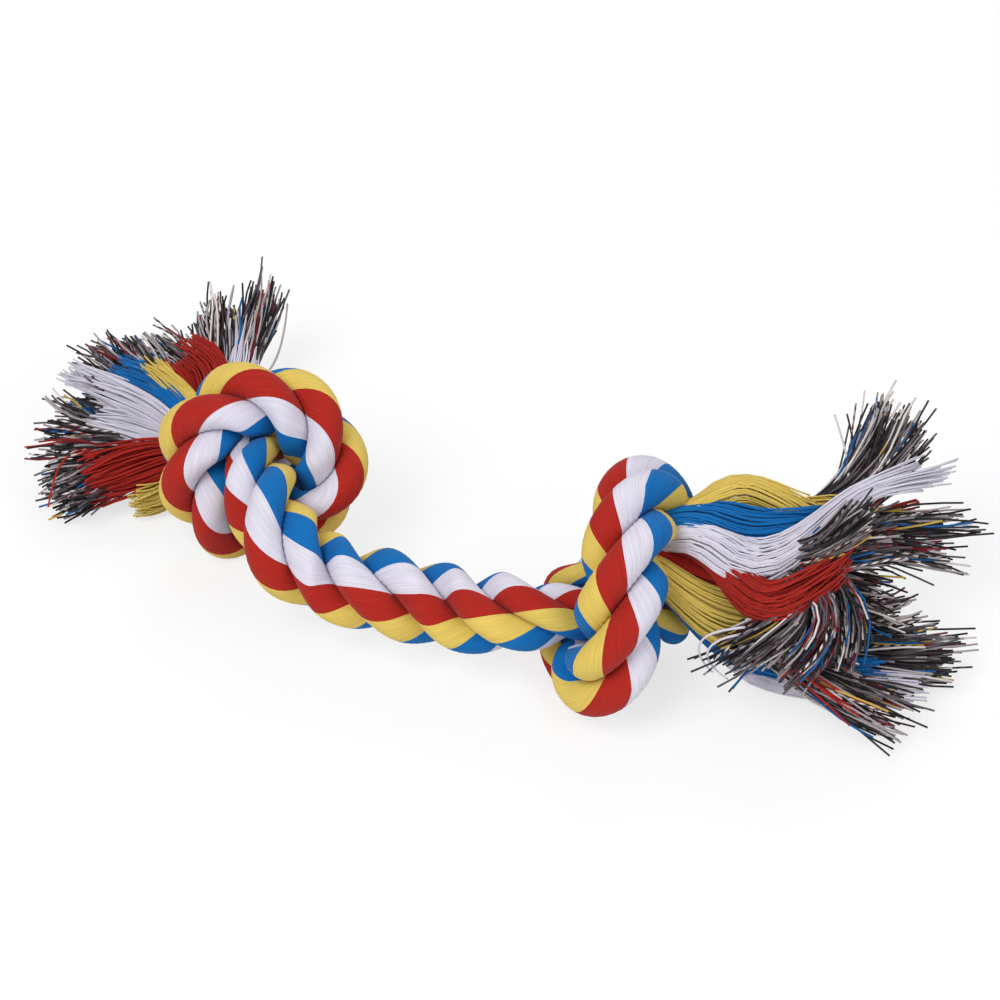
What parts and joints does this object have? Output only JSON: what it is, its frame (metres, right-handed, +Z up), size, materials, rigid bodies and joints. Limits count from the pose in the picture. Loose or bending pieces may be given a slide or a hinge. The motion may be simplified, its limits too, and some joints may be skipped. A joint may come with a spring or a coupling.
{
  "type": "rope dog toy",
  "caption": "Chew and tug toy for a dog: a laid cotton rope with an overhand knot near each end and both ends combed out into tassels.",
  "frame": {"origin": "on the floor, under the middle of the toy's bounding box", "axes": "+X along the toy, from the left tassel to the right one; +Y away from the viewer; +Z up from the floor it lies on"},
  "size_m": [0.2004, 0.1319, 0.0462],
  "materials": {
    "laid_cotton": "soft-laid cotton yarns in blue, white, red and yellow bands",
    "blue_cotton": "dyed cotton yarn",
    "white_cotton": "bleached cotton yarn",
    "red_cotton": "dyed cotton yarn",
    "yellow_cotton": "dyed cotton yarn",
    "core_yarn": "mixed grey and black recycled yarn"
  },
  "bodies": {
    "bridge": {"bridge_strand_1": "laid_cotton", "bridge_strand_2": "laid_cotton", "bridge_strand_3": "laid_cotton", "left_flex_strand_1": "laid_cotton", "left_flex_strand_2": "laid_cotton", "left_flex_strand_3": "laid_cotton", "right_flex_strand_1": "laid_cotton", "right_flex_strand_2": "laid_cotton", "right_flex_strand_3": "laid_cotton"},
    "left_knot": {"left_knot_strand_1": "laid_cotton", "left_knot_strand_2": "laid_cotton", "left_knot_strand_3": "laid_cotton", "left_neck_strand_1": "laid_cotton", "left_neck_strand_2": "laid_cotton", "left_neck_strand_3": "laid_cotton"},
    "right_knot": {"right_knot_strand_1": "laid_cotton", "right_knot_strand_2": "laid_cotton", "right_knot_strand_3": "laid_cotton", "right_neck_strand_1": "laid_cotton", "right_neck_strand_2": "laid_cotton", "right_neck_strand_3": "laid_cotton"},
    "left_tassel": {"left_tuft_1_core": "core_yarn", "left_tuft_1_blue": "blue_cotton", "left_tuft_1_white": "white_cotton", "left_tuft_1_red": "red_cotton", "left_tuft_1_yellow": "yellow_cotton", "left_tuft_2_core": "core_yarn", "left_tuft_2_blue": "blue_cotton", "left_tuft_2_white": "white_cotton", "left_tuft_2_red": "red_cotton", "left_tuft_2_yellow": "yellow_cotton", "left_tuft_3_core": "core_yarn", "left_tuft_3_blue": "blue_cotton", "left_tuft_3_white": "white_cotton", "left_tuft_3_red": "red_cotton", "left_tuft_3_yellow": "yellow_cotton"},
    "right_tassel": {"right_tuft_1_core": "core_yarn", "right_tuft_1_blue": "blue_cotton", "right_tuft_1_white": "white_cotton", "right_tuft_1_red": "red_cotton", "right_tuft_1_yellow": "yellow_cotton", "right_tuft_2_core": "core_yarn", "right_tuft_2_blue": "blue_cotton", "right_tuft_2_white": "white_cotton", "right_tuft_2_red": "red_cotton", "right_tuft_2_yellow": "yellow_cotton", "right_tuft_3_core": "core_yarn", "right_tuft_3_blue": "blue_cotton", "right_tuft_3_white": "white_cotton", "right_tuft_3_red": "red_cotton", "right_tuft_3_yellow": "yellow_cotton"}
  },
  "joints": [
    {"name": "bridge_left_bend", "type": "hinge", "parent": "bridge", "child": "left_knot", "pos_m": [-0.0345, -0.0285, 0.0177], "axis": [0, 0, 1], "range_deg": [-20, 20], "deforming": ["left_flex_strand_1", "left_flex_strand_2", "left_flex_strand_3"]},
    {"name": "bridge_right_bend", "type": "hinge", "parent": "bridge", "child": "right_knot", "pos_m": [0.0018, -0.041, 0.0182], "axis": [0, 0, 1], "range_deg": [-20, 20], "deforming": ["right_flex_strand_1", "right_flex_strand_2", "right_flex_strand_3"]},
    {"name": "left_tassel_swing", "type": "hinge", "parent": "left_knot", "child": "left_tassel", "pos_m": [-0.0633, 0.0205, 0.0116], "axis": [0, 0, 1], "range_deg": [-25, 25], "deforming": ["left_neck_strand_1", "left_neck_strand_2", "left_neck_strand_3"]},
    {"name": "right_tassel_swing", "type": "hinge", "parent": "right_knot", "child": "right_tassel", "pos_m": [0.0386, -0.0334, 0.0286], "axis": [0, 0, 1], "range_deg": [-25, 25], "deforming": ["right_neck_strand_1", "right_neck_strand_2", "right_neck_strand_3"]}
  ]
}
